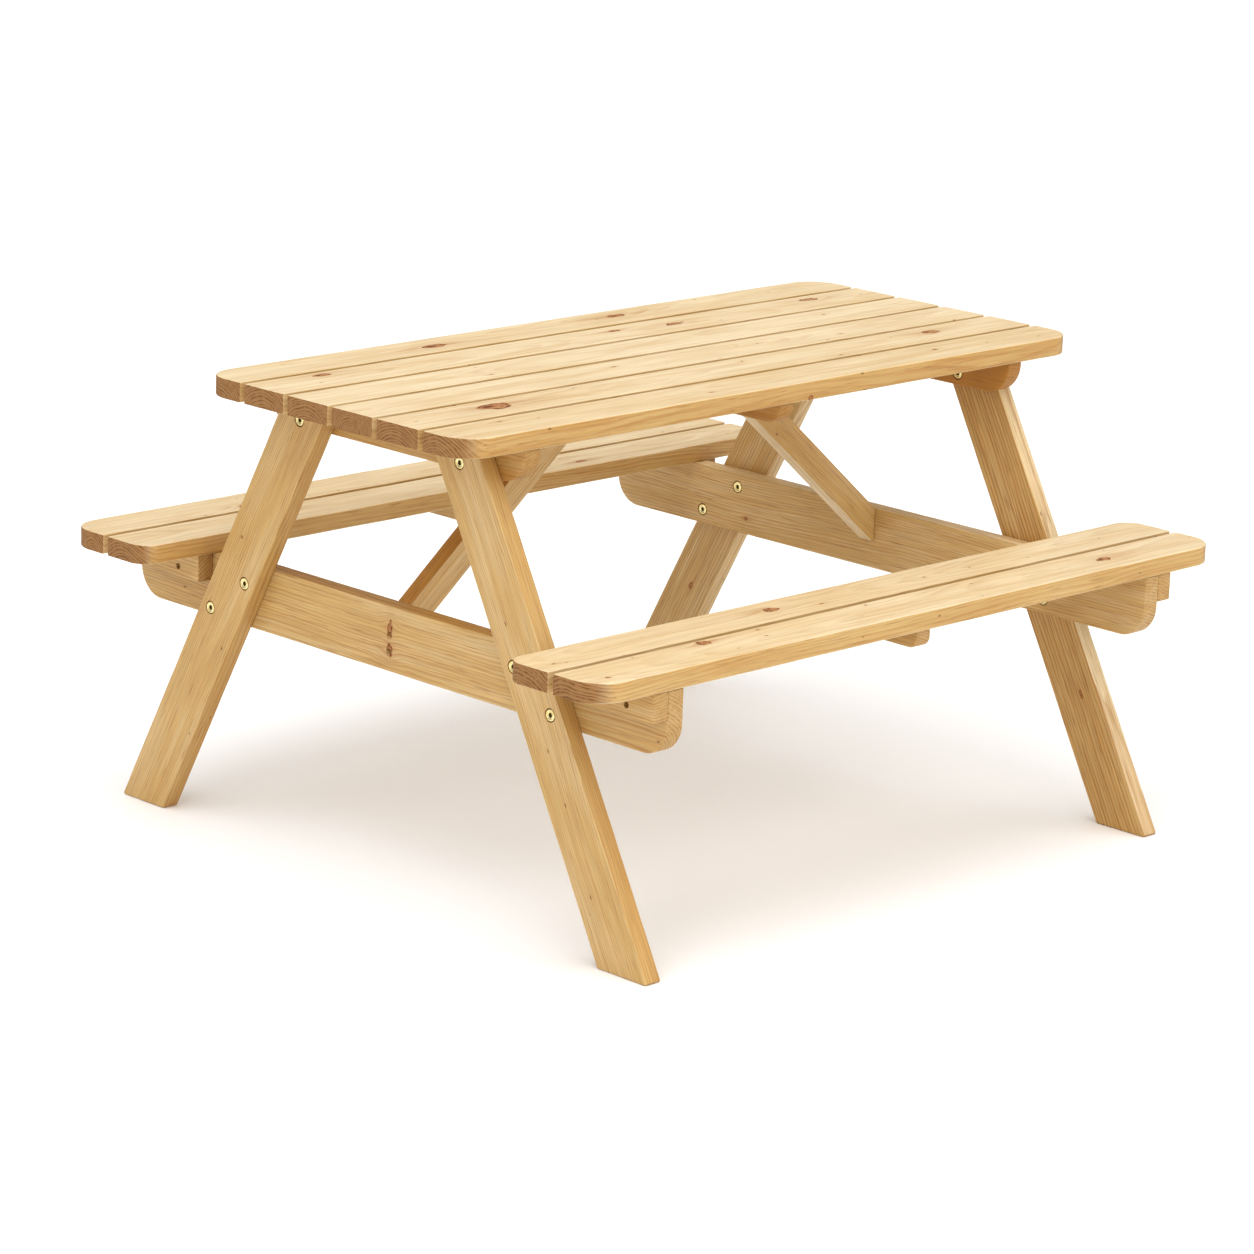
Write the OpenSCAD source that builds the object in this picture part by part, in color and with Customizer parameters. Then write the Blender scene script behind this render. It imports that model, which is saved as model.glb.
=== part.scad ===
// A-frame picnic table with two fixed benches, built from planed softwood.
// It stands on Z = 0 with the origin at the floor centre. X runs along the
// boards, front is -Y and left is -X. Lengths are in millimetres.
// The left rear quarter is described once, and the other three mirror it.

/* [Table top] */
// Length of the table top
top_length = 1250; // [1000:10:1800]
// Height of the table top above the ground
table_height = 700; // [580:5:840]
// Width of every top board
board_w = 83; // [68:1:110]
// Thickness of the top and seat boards
board_t = 28; // [22:1:38]
// Gap between neighbouring top boards
board_gap = 9; // [4:1:14]
// Corner radius of the two outer top boards, in plan
top_corner_r = 50; // [10:1:60]

/* [Seats] */
// How much longer the seats are than the table top
seat_extra = 35; // [0:5:150]
// Height of the seats above the ground
seat_height = 430; // [350:5:500]
// Distance from the centre line to the inner edge of a seat
seat_reach = 376; // [360:2:470]
// Width of every seat board
seat_board_w = 83; // [68:1:110]
// Gap between the two boards of a seat
seat_gap = 10; // [4:1:14]
// Corner radius of the outer seat boards, in plan
seat_outer_r = 50; // [10:1:60]
// Corner radius of the inner seat boards, in plan
seat_inner_r = 30; // [5:1:60]

/* [End frames] */
// How far the top boards run past the legs
top_overhang = 90; // [60:5:160]
// Width of a leg, across its grain
leg_w = 83; // [68:1:110]
// Thickness of a leg
leg_t = 28; // [22:1:38]
// Distance of the middle of a foot inside the outer edge of the seat
foot_inset = 44; // [0:2:60]
// How far outside the second screw line the leg meets the top
leg_top_shift = 10; // [0:1:20]
// Height of a seat bearer
bearer_h = 95; // [80:1:120]
// Thickness of a seat bearer
bearer_t = 28; // [22:1:38]
// How far a bearer stops short of the outer edge of the seat
bearer_inset = 3; // [0:1:20]
// Radius of the lower corners of a bearer
bearer_r = 45; // [5:1:70]

/* [Top battens] */
// Height of the two end battens
end_batten_h = 50; // [40:1:70]
// Thickness of all three battens
batten_t = 28; // [22:1:38]
// Radius of the lower corners of the end battens
end_batten_r = 45; // [5:1:50]
// Height of the middle batten
mid_batten_h = 30; // [24:1:50]
// Radius of the lower corners of the middle batten
mid_batten_r = 28; // [5:1:30]
// How far the battens stop short of the edge of the top
batten_inset = 6; // [0:1:40]

/* [Seat battens and cleats] */
// Height of the seat battens outside the bearers
seat_batten_h = 42; // [35:1:60]
// How far a seat batten starts outside the inner edge of the seat
seat_batten_inset = 8; // [4:1:40]
// Least gap between a leg and the seat batten beside it
leg_gap = 6; // [2:1:15]
// Height of the cleat under the middle of a seat
cleat_h = 28; // [24:1:45]
// Thickness of a cleat
cleat_t = 28; // [22:1:38]
// How far a cleat stops short of the edges of the seat
cleat_inset = 10; // [0:1:40]
// Radius of the lower corners of a cleat
cleat_r = 14; // [4:1:20]

/* [Braces] */
// Width of a brace, across its grain
brace_w = 42; // [35:1:60]
// Thickness of a brace
brace_t = 28; // [22:1:38]
// Distance from the centre to the near corner of a brace's top end
brace_top_x = 90; // [60:5:160]

/* [Bolts and sleeve nuts] */
// Diameter of the bolt shank
bolt_d = 8; // [6:1:10]
// Diameter of the round heads, on bolts and sleeve nuts
bolt_head_d = 17; // [14:1:24]
// Thickness of the round heads
bolt_head_h = 4; // [3:0.5:6]
// Hexagon socket of the heads, across flats
socket_af = 6; // [4:1:8]
// Depth of the hexagon sockets
socket_depth = 3; // [2:0.5:4]
// Outside diameter of a sleeve nut's barrel
sleeve_d = 10; // [9:0.5:14]
// Length of a sleeve nut's barrel
sleeve_length = 18; // [14:1:22]
// How far the bolt thread stops short of the head of the sleeve nut
thread_short = 3; // [2:0.5:6]
// Offset of the bearer bolts along the leg, from the middle of the joint
bolt_along = 40; // [30:1:44]
// Offset of the bearer bolts across the leg, from its centre line
bolt_across = 21; // [12:1:24]
// Depth of the batten bolts below the top boards
batten_bolt_drop = 32; // [18:1:40]

/* [Screws] */
// Diameter of a wood screw
screw_d = 4.5; // [4:0.5:6]
// Diameter of its countersunk head
screw_head_d = 9; // [8:0.5:12]
// How deep the screws bite into the top and seat boards
board_bite = 18; // [12:1:20]
// How deep the face screws bite into the bearers
bearer_bite = 20; // [12:1:21]
// How deep the brace screws bite into the foot of a brace
brace_bite = 40; // [25:1:60]
// Distance of the lower brace screw from the lower edge of the brace
brace_screw_low = 8; // [6:1:12]
// Distance between the two screws at the foot of a brace
brace_screw_gap = 19; // [12:1:20]
// How deep the heads of the brace screws sit in the bearer and the brace
brace_sink = 4; // [2:0.5:8]
// How far past the centre line a toe screw leaves the top end of a brace
toe_exit = 10; // [8:0.5:12]
// How deep screw heads sit below the underside of battens and cleats
screw_sink = 3; // [1:0.5:5]
// How deep the heads of the face screws sit in the seat battens
face_sink = 6; // [2:0.5:8]
// Height of the face screws below the seat boards
face_screw_drop = 26; // [20:1:30]
// Distance of the face screws from the seat screws beside them
face_screw_shift = 12; // [10:1:16]

/* [Clearances] */
// Room around bolts and barrels in the wood, on the diameter
bolt_play = 0.5; // [0.2:0.1:1]
// Room around bolt heads in their counterbores, on the diameter
head_play = 3; // [1:0.5:4]
// Room around screws in the wood, on the diameter
screw_play = 0.2; // [0.1:0.1:0.6]
// Room around the bolt thread in the sleeve nut, on the diameter
thread_play = 0.1; // [0.1:0.1:0.3]

/* [Hidden] */
$fn = 64;

pine = [0.91, 0.80, 0.62];
pine_dark = [0.80, 0.64, 0.42];
yellow_zinc = [0.86, 0.75, 0.38];

top_boards = 6;
eps = 1;

// Heights of the faces that pieces meet at
top_under = table_height - board_t;
seat_under = seat_height - board_t;
bearer_bottom = seat_under - bearer_h;

// Along X: the seats, and the layers of an end frame from the centre
seat_length = top_length + seat_extra;
leg_outside = top_length / 2 - top_overhang;
leg_inside = leg_outside - leg_t;
batten_inside = leg_inside - batten_t;
bearer_inside = leg_inside - bearer_t;

// Places across the table, as distances from the centre line along Y
board_pitch = board_w + board_gap;
top_half_w = (top_boards * board_w + (top_boards - 1) * board_gap) / 2;
batten_half = top_half_w - batten_inset;
screw_line_2 = 1.5 * board_pitch;
leg_top_reach = screw_line_2 + leg_top_shift;
seat_edge = seat_reach + 2 * seat_board_w + seat_gap;
bearer_half = seat_edge - bearer_inset;
foot_reach = seat_edge - foot_inset;
inner_seat_y = seat_reach + seat_board_w / 2;
outer_seat_y = seat_edge - seat_board_w / 2;

// The leg's slope, and points on it
splay = atan((foot_reach - leg_top_reach) / top_under);
leg_half = leg_w / 2 / cos(splay);
function leg_y(z) = foot_reach - z * tan(splay);
leg_beside_batten = leg_y(seat_under - seat_batten_h) + leg_half;
seat_batten_start = max(seat_reach + seat_batten_inset, leg_beside_batten + leg_gap);
bearer_mid = bearer_bottom + bearer_h / 2;
batten_bolt_z = top_under - batten_bolt_drop;
function bearer_bolt(side) = [
  leg_y(bearer_mid) + side * (bolt_along * sin(splay) + bolt_across * cos(splay)),
  bearer_mid + side * (bolt_across * sin(splay) - bolt_along * cos(splay))
];
bearer_bolts = [bearer_bolt(-1), bearer_bolt(1)];
batten_bolt = [leg_y(batten_bolt_z), batten_bolt_z];

// The brace runs from the bearer's top edge to the underside of the top boards
brace_rise = top_under - seat_under;
brace_run = bearer_inside - brace_top_x;
brace_angle = atan2(brace_rise, brace_run) + asin(brace_w / norm([brace_rise, brace_run]));
brace_foot_h = brace_w / cos(brace_angle);
brace_top_w = brace_w / sin(brace_angle);
brace_foot_z = seat_under - brace_foot_h;
brace_screw_offsets = [brace_screw_low, brace_screw_low + brace_screw_gap];
toe_angle = 45;
toe_rise = (brace_t / 2 + toe_exit) / tan(toe_angle);
toe_near = brace_top_x + toe_rise / tan(brace_angle);
toe_far = brace_top_x + brace_top_w;
toe_places = [(2 * toe_near + toe_far) / 3, (toe_near + 2 * toe_far) / 3];

// Fastener lengths, from what each one passes through
end_screw_length = end_batten_h - screw_sink + board_bite;
middle_screw_length = mid_batten_h - screw_sink + board_bite;
seat_screw_length = seat_batten_h - screw_sink + board_bite;
cleat_screw_length = cleat_h - screw_sink + board_bite;
face_screw_length = leg_t - face_sink + bearer_bite;
brace_screw_length = bearer_t / cos(brace_angle) - brace_sink + brace_bite;
toe_screw_length = toe_rise / cos(toe_angle) - brace_sink + board_bite;
bearer_grip = leg_t + bearer_t - 2 * bolt_head_h;
batten_grip = leg_t + batten_t - 2 * bolt_head_h;
head_cone_h = (screw_head_d - screw_d) / 2;
tip_h = 2 * screw_d;
socket_d = socket_af / cos(30);

// ---- Placing ----

// Mirrors its children to the right-hand frame, or to the front seat
module to_right(on) {
  if (on) mirror([1, 0, 0]) children();
  else children();
}

module to_front(on) {
  if (on) mirror([0, 1, 0]) children();
  else children();
}

module four_corners() {
  for (right = [false, true])
    for (front = [false, true])
      to_right(right) to_front(front) children();
}

// Stands an outline drawn in Y and Z at x, and makes it t thick along +X
module plate_yz(x, t) {
  translate([x, 0, 0]) rotate([90, 0, 90]) linear_extrude(t) children();
}

// ---- Outlines ----

// A rectangle from y = 0 up, centred on x, with rounded lower or upper corners
module board_outline(l, w, low_r = 0, high_r = 0) {
  difference() {
    translate([-l / 2, 0]) square([l, w]);
    for (flip = [false, true])
      to_right(flip) {
        translate([-l / 2, 0]) corner_waste(low_r);
        translate([-l / 2, w]) mirror([0, 1]) corner_waste(high_r);
      }
  }
}

// What a saw takes off a corner at the origin to leave radius r
module corner_waste(r) {
  if (r > 0)
    difference() {
      translate([-eps, -eps]) square(r + eps);
      translate([r, r]) circle(r);
    }
}

// ---- Fasteners, along +Z from the outer face of the head ----

module screw(length) {
  rotate_extrude()
    polygon([
      [0, 0], [screw_head_d / 2, 0], [screw_d / 2, head_cone_h],
      [screw_d / 2, length - tip_h], [0, length]
    ]);
}

// The hole of a screw, open for open_h behind its head
module screw_hole(length, open_h = screw_sink + eps) {
  r = (screw_d + screw_play) / 2;
  head_r = (screw_head_d + screw_play) / 2;
  rotate_extrude()
    polygon([
      [0, -open_h], [head_r, -open_h], [head_r, 0],
      [r, head_r - r], [r, length + screw_play], [0, length + screw_play]
    ]);
}

module round_head(stem_d, stem_h) {
  difference() {
    union() {
      cylinder(d = bolt_head_d, h = bolt_head_h);
      cylinder(d = stem_d, h = bolt_head_h + stem_h);
    }
    translate([0, 0, -eps]) cylinder(d = socket_d, h = socket_depth + eps, $fn = 6);
  }
}

// The thread ends thread_short before the head of the sleeve nut
module bolt(grip) {
  round_head(bolt_d, grip - thread_short);
}

module sleeve_nut() {
  difference() {
    round_head(sleeve_d, sleeve_length);
    translate([0, 0, bolt_head_h])
      cylinder(d = bolt_d + thread_play, h = sleeve_length + eps);
  }
}

// Counterbore for a round head, and a hole through t for the stem behind it
module bolt_hole(stem_d, t) {
  translate([0, 0, -eps]) cylinder(d = bolt_head_d + head_play, h = bolt_head_h + eps);
  cylinder(d = stem_d + bolt_play, h = t + eps);
}

// ---- Places of the fasteners ----

// Bolts come from the outer face of a leg, sleeve nuts from the inside
module from_outside(p) {
  translate([-leg_outside, p.x, p.y]) rotate([0, 90, 0]) children();
}

module from_inside(p, inside) {
  translate([-inside, p.x, p.y]) rotate([0, -90, 0]) children();
}

function screw_y(board) = (board - (top_boards + 1) / 2) * board_pitch;

// Upright screws through the battens into a top board
module at_end_battens(board) {
  for (right = [false, true])
    to_right(right)
      translate([-(leg_inside + batten_inside) / 2, screw_y(board), top_under])
        translate([0, 0, screw_sink - end_batten_h]) children();
}

module at_middle_batten(board) {
  translate([0, screw_y(board), top_under + screw_sink - mid_batten_h]) children();
}

// Upright screws through a seat batten and a cleat into a rear seat board
module at_seat_batten(y) {
  translate([-(leg_outside + leg_inside) / 2, y, seat_under + screw_sink - seat_batten_h])
    children();
}

module at_cleat(y) {
  translate([0, y, seat_under + screw_sink - cleat_h]) children();
}

// Level screws through the left rear seat batten into the bearer
module at_seat_batten_face() {
  for (y = [inner_seat_y + face_screw_shift, outer_seat_y - face_screw_shift])
    translate([face_sink - leg_outside, y, seat_under - face_screw_drop])
      rotate([0, 90, 0]) children();
}

// Screws through the left bearer, along the brace and into its foot
module at_brace_foot() {
  for (offset = brace_screw_offsets)
    translate([-bearer_inside, 0, brace_foot_z + offset / cos(brace_angle)])
      rotate([0, 90 - brace_angle, 0])
        translate([0, 0, brace_sink - bearer_t / cos(brace_angle)]) children();
}

// Slanting screws through the top end of the left brace, to the rear or front
module at_brace_top(front) {
  to_front(front)
    translate([-toe_places[front ? 1 : 0], -brace_t / 2, top_under - toe_rise])
      rotate([-toe_angle, 0, 0]) translate([0, 0, brace_sink]) children();
}

// ---- Table top ----

module top_board(board) {
  low_r = board == 1 ? top_corner_r : 0;
  high_r = board == top_boards ? top_corner_r : 0;
  color(pine)
    difference() {
      translate([0, screw_y(board) - board_w / 2, top_under])
        linear_extrude(board_t) board_outline(top_length, board_w, low_r, high_r);
      at_end_battens(board) screw_hole(end_screw_length);
      at_middle_batten(board) screw_hole(middle_screw_length);
      if (abs(board - (top_boards + 1) / 2) < 1)
        for (right = [false, true])
          to_right(right)
            at_brace_top(board < top_boards / 2 + 1) screw_hole(toe_screw_length);
    }
}

module end_batten(right) {
  color(pine_dark)
    to_right(right)
      difference() {
        plate_yz(-leg_inside, batten_t)
          translate([0, top_under - end_batten_h])
            board_outline(2 * batten_half, end_batten_h, end_batten_r);
        for (board = [1:top_boards]) at_end_battens(board) screw_hole(end_screw_length);
        for (front = [false, true])
          to_front(front)
            from_inside(batten_bolt, batten_inside) bolt_hole(sleeve_d, batten_t);
      }
}

module middle_batten() {
  color(pine_dark)
    difference() {
      plate_yz(-batten_t / 2, batten_t)
        translate([0, top_under - mid_batten_h])
          board_outline(2 * batten_half, mid_batten_h, mid_batten_r);
      for (board = [1:top_boards])
        at_middle_batten(board) screw_hole(middle_screw_length);
    }
}

// ---- End frames ----

module leg(right, front) {
  color(pine_dark)
    to_right(right)
      to_front(front)
        difference() {
          plate_yz(-leg_outside, leg_t)
            polygon([
              [leg_y(0) - leg_half, 0], [leg_y(0) + leg_half, 0],
              [leg_y(top_under) + leg_half, top_under],
              [leg_y(top_under) - leg_half, top_under]
            ]);
          for (p = concat(bearer_bolts, [batten_bolt]))
            from_outside(p) bolt_hole(bolt_d, leg_t);
        }
}

module seat_bearer(right) {
  color(pine_dark)
    to_right(right)
      difference() {
        plate_yz(-leg_inside, bearer_t)
          translate([0, bearer_bottom])
            board_outline(2 * bearer_half, bearer_h, bearer_r);
        for (front = [false, true])
          to_front(front) {
            for (p = bearer_bolts)
              from_inside(p, bearer_inside) bolt_hole(sleeve_d, bearer_t);
            at_seat_batten_face() screw_hole(face_screw_length);
          }
        at_brace_foot() screw_hole(brace_screw_length, brace_sink + screw_head_d);
      }
}

// ---- Seats ----

module seat_batten(right, front) {
  color(pine_dark)
    to_right(right)
      to_front(front)
        difference() {
          translate([-leg_outside, seat_batten_start, seat_under - seat_batten_h])
            cube([leg_t, bearer_half - seat_batten_start, seat_batten_h]);
          for (y = [inner_seat_y, outer_seat_y])
            at_seat_batten(y) screw_hole(seat_screw_length);
          at_seat_batten_face() screw_hole(face_screw_length, face_sink + eps);
        }
}

module seat_board(front, outer) {
  y = outer ? outer_seat_y : inner_seat_y;
  low_r = outer ? 0 : seat_inner_r;
  high_r = outer ? seat_outer_r : 0;
  color(pine)
    to_front(front)
      difference() {
        translate([0, y - seat_board_w / 2, seat_under])
          linear_extrude(board_t)
            board_outline(seat_length, seat_board_w, low_r, high_r);
        for (right = [false, true])
          to_right(right) at_seat_batten(y) screw_hole(seat_screw_length);
        at_cleat(y) screw_hole(cleat_screw_length);
      }
}

module seat_cleat(front) {
  length = seat_edge - seat_reach - 2 * cleat_inset;
  color(pine_dark)
    to_front(front)
      difference() {
        plate_yz(-cleat_t / 2, cleat_t)
          translate([(seat_reach + seat_edge) / 2, seat_under - cleat_h])
            board_outline(length, cleat_h, cleat_r);
        for (y = [inner_seat_y, outer_seat_y])
          at_cleat(y) screw_hole(cleat_screw_length);
      }
}

// ---- Braces ----

module brace(right) {
  color(pine_dark)
    to_right(right)
      difference() {
        translate([0, brace_t / 2, 0])
          rotate([90, 0, 0])
            linear_extrude(brace_t)
              polygon([
                [-bearer_inside, brace_foot_z], [-brace_top_x, top_under],
                [-brace_top_x - brace_top_w, top_under], [-bearer_inside, seat_under]
              ]);
        at_brace_foot() screw_hole(brace_screw_length);
        for (front = [false, true])
          at_brace_top(front) screw_hole(toe_screw_length, brace_sink + screw_head_d);
      }
}

// ---- Fasteners, one group for each kind ----

module connector_bolts() {
  color(yellow_zinc)
    four_corners() {
      for (p = bearer_bolts) from_outside(p) bolt(bearer_grip);
      from_outside(batten_bolt) bolt(batten_grip);
    }
}

module sleeve_nuts() {
  color(yellow_zinc)
    four_corners() {
      for (p = bearer_bolts) from_inside(p, bearer_inside) sleeve_nut();
      from_inside(batten_bolt, batten_inside) sleeve_nut();
    }
}

module end_batten_screws() {
  color(yellow_zinc)
    for (board = [1:top_boards]) at_end_battens(board) screw(end_screw_length);
}

module middle_batten_screws() {
  color(yellow_zinc)
    for (board = [1:top_boards]) at_middle_batten(board) screw(middle_screw_length);
}

module seat_batten_screws() {
  color(yellow_zinc)
    four_corners()
      for (y = [inner_seat_y, outer_seat_y]) at_seat_batten(y) screw(seat_screw_length);
}

module cleat_screws() {
  color(yellow_zinc)
    for (front = [false, true])
      to_front(front)
        for (y = [inner_seat_y, outer_seat_y]) at_cleat(y) screw(cleat_screw_length);
}

module face_screws() {
  color(yellow_zinc)
    four_corners() at_seat_batten_face() screw(face_screw_length);
}

module brace_foot_screws() {
  color(yellow_zinc)
    for (right = [false, true])
      to_right(right) at_brace_foot() screw(brace_screw_length);
}

module brace_top_screws() {
  color(yellow_zinc)
    for (right = [false, true])
      to_right(right)
        for (front = [false, true]) at_brace_top(front) screw(toe_screw_length);
}

top_board(1);  // top_board_1
top_board(2);  // top_board_2
top_board(3);  // top_board_3
top_board(4);  // top_board_4
top_board(5);  // top_board_5
top_board(6);  // top_board_6
end_batten(false);  // top_batten_left
middle_batten();  // top_batten_middle
end_batten(true);  // top_batten_right
leg(false, true);  // leg_left_front
leg(false, false);  // leg_left_rear
leg(true, true);  // leg_right_front
leg(true, false);  // leg_right_rear
seat_bearer(false);  // seat_bearer_left
seat_bearer(true);  // seat_bearer_right
seat_batten(false, true);  // seat_batten_left_front
seat_batten(false, false);  // seat_batten_left_rear
seat_batten(true, true);  // seat_batten_right_front
seat_batten(true, false);  // seat_batten_right_rear
seat_board(true, false);  // seat_board_front_inner
seat_board(true, true);  // seat_board_front_outer
seat_board(false, false);  // seat_board_rear_inner
seat_board(false, true);  // seat_board_rear_outer
seat_cleat(true);  // seat_cleat_front
seat_cleat(false);  // seat_cleat_rear
brace(false);  // brace_left
brace(true);  // brace_right
connector_bolts();
sleeve_nuts();
end_batten_screws();
middle_batten_screws();
seat_batten_screws();
cleat_screws();
face_screws();
brace_foot_screws();
brace_top_screws();
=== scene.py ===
"""A compact A-frame picnic table of planed pine, bolted and screwed together.

Sections follow the way the table is put together: legs and seat bearers with
their bolts, the top with its battens, the seats, the braces and the last
screws. Lengths are in metres unless a name ends in _mm.
"""

import math

import bmesh
import bpy
import numpy as np
from mathutils import Matrix, Vector


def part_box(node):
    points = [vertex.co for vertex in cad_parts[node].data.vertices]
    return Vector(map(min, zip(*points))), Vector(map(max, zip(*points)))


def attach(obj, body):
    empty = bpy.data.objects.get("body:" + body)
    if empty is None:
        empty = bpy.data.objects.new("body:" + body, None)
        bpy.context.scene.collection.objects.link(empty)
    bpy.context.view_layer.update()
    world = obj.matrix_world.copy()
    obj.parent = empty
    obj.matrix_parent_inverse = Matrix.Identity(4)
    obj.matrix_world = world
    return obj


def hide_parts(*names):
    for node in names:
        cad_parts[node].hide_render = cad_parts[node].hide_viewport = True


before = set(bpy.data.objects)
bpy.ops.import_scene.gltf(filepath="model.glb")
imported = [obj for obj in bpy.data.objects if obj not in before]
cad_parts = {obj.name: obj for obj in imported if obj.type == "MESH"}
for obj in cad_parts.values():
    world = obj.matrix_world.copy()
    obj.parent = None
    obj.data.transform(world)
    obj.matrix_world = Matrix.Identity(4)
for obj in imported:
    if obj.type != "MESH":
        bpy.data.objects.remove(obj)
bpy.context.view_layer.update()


# ---- Legs ----
# Four planed 83 x 28 mm pine boards, one to each corner, sawn level at the
# foot and under the top. They lean outwards and lie flat against the outer
# faces of the seat bearers and end battens, where the bolts hold them.

MM = 0.001
ARRIS = 1.9 * MM
LEG_WIDTH = 83 * MM
LEG_CORNER = 3 * MM
ARC_STEP = 4 * MM
SIDE_STEP = 30 * MM
CREASE = math.radians(32)


def outline(corners, radii):
    """Points round a convex outline, with their inward directions.

    Each corner is an arc of its own radius, tangent to both sides. Between
    the arcs, a side has a point about every SIDE_STEP.
    """
    corners = np.asarray(corners, float)
    count = len(corners)
    arcs = []
    for i in range(count):
        here = corners[i]
        ahead = corners[(i + 1) % count] - here
        behind = here - corners[i - 1]
        ahead /= np.linalg.norm(ahead)
        behind /= np.linalg.norm(behind)
        turn = math.atan2(behind[0] * ahead[1] - behind[1] * ahead[0], behind @ ahead)
        left = np.array([-behind[1], behind[0]])
        centre = here - behind * radii[i] * math.tan(turn / 2) + left * radii[i]
        start = math.atan2(-left[1], -left[0])
        angle = start + turn * np.linspace(0, 1, 6 + int(radii[i] / ARC_STEP))
        ray = np.stack([np.cos(angle), np.sin(angle)], 1)
        arcs.append((centre + radii[i] * ray, -ray))
    points, inward = [], []
    for i, (arc, ray) in enumerate(arcs):
        far = arcs[(i + 1) % count][0][0]
        parts = max(1, int(np.linalg.norm(far - arc[-1]) / SIDE_STEP))
        along = np.linspace(0, 1, parts + 1)[1:-1, None]
        points += [arc, arc[-1] + (far - arc[-1]) * along]
        inward += [ray, np.repeat(ray[-1:], len(along), 0)]
    return np.concatenate(points), np.concatenate(inward)


def ring_faces(rings, around):
    """The faces of a closed solid: quads between its rings of points, a cap on each end."""
    ring, spoke = np.meshgrid(np.arange(rings - 1), np.arange(around), indexing="ij")
    ahead = (spoke + 1) % around
    quads = np.stack([ring * around + spoke, ring * around + ahead,
                      (ring + 1) * around + ahead, (ring + 1) * around + spoke], -1)
    first = list(range(around))
    last = [(rings - 1) * around + point for point in first]
    return quads.reshape(-1, 4).tolist() + [first[::-1], last]


def solid_mesh(name, points, faces):
    mesh = bpy.data.meshes.new(name)
    mesh.from_pydata(points.reshape(-1, 3).tolist(), [], faces)
    return mesh


def add_piece(name, mesh):
    """Turns every face of a mesh outwards, smooths all but its sharp edges, and shows it."""
    work = bmesh.new()
    work.from_mesh(mesh)
    bmesh.ops.recalc_face_normals(work, faces=work.faces)
    work.to_mesh(mesh)
    work.free()
    mesh.shade_smooth()
    mesh.set_sharp_from_angle(angle=CREASE)
    piece = bpy.data.objects.new(name, mesh)
    bpy.context.scene.collection.objects.link(piece)
    return piece


FACE_MARGIN = 0.5 * MM
WAVES = 5
WAVE_HEIGHT = 0.07
ARRIS_POINTS = 6


def plank(name, corners, radii, origin, across, up, through, thickness, seed, arris=ARRIS,
          worn=(0, 0)):
    """A board with worn, rounded arrises, closed and ready to drill.

    The two parameters are the place round the outline and the place on a
    profile that goes from one face, round an arris, down the side and round
    the other arris. The arris radius swells and shrinks slowly round the
    board, by a sum of waves, as hand sanding leaves it, and is greater
    where the outline faces the worn side. The outline's two directions are
    across and up, and the thickness goes through.
    """
    base, inward = outline(corners, radii)
    rng = np.random.default_rng(seed)
    gaps = np.linalg.norm(np.roll(base, -1, 0) - base, axis=1)
    place = (np.cumsum(gaps) - gaps) / gaps.sum() * 2 * math.pi
    waves = rng.integers(3, 26, WAVES)
    shift = rng.uniform(0, 2 * math.pi, WAVES)
    ease = arris * (1 + WAVE_HEIGHT * np.sin(place[:, None] * waves + shift).sum(1))
    ease = ease * (1 + np.clip(-inward @ np.asarray(worn, float), 0, None))
    bend = np.linspace(0, math.pi / 2, ARRIS_POINTS)[:, None]
    inset = np.concatenate([ease[None] + FACE_MARGIN, ease * (1 - np.sin(bend))])
    depth = np.concatenate([0 * ease[None], ease * (1 - np.cos(bend))])
    inset = np.concatenate([inset, inset[::-1]])
    depth = np.concatenate([depth, thickness - depth[::-1]])
    flat = base[None] + inward[None] * inset[..., None]
    axes = [np.asarray(a, float) for a in (across, up, through)]
    grid = np.asarray(origin, float) + flat[..., :1] * axes[0]
    grid = grid + flat[..., 1:] * axes[1] + depth[..., None] * axes[2]
    return add_piece(name, solid_mesh(name, grid, ring_faces(*grid.shape[:2])))


def loose_solids(node):
    """The points of each separate solid in a node.

    Points at one place are one point, and every triangle hands its points
    the lowest number among them until no number changes.
    """
    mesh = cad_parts[node].data
    place = np.empty(len(mesh.vertices) * 3)
    mesh.vertices.foreach_get("co", place)
    corner = np.empty(len(mesh.loops), int)
    mesh.loops.foreach_get("vertex_index", corner)
    points, same = np.unique(place.reshape(-1, 3).round(6), axis=0, return_inverse=True)
    triangles = same.reshape(-1)[corner].reshape(-1, 3)
    number = np.arange(len(points))
    while True:
        before = number.copy()
        lowest = number[triangles].min(1)
        np.minimum.at(number, triangles.reshape(-1), np.repeat(lowest, 3))
        if (number == before).all():
            return [points[number == n] for n in np.unique(number)]


def fastener_places(node):
    """Where each fastener of a node starts, which way it goes, and how long it is.

    The axis is the direction in which the solid's points spread most, and it
    starts at the end that has the widest ring.
    """
    places = []
    for points in loose_solids(node):
        middle = points.mean(0)
        axis = np.linalg.svd(points - middle)[2][0]
        along = (points - middle) @ axis
        radius = np.linalg.norm(points - middle - along[:, None] * axis, axis=1)
        if along[radius > 0.98 * radius.max()].mean() > along.mean():
            axis, along = -axis, -along
        places.append((middle + axis * along.min(), axis, np.ptp(along)))
    return places


ROUND, HEX, STAR = 0, 1, 2
SPOKES = 48


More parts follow.
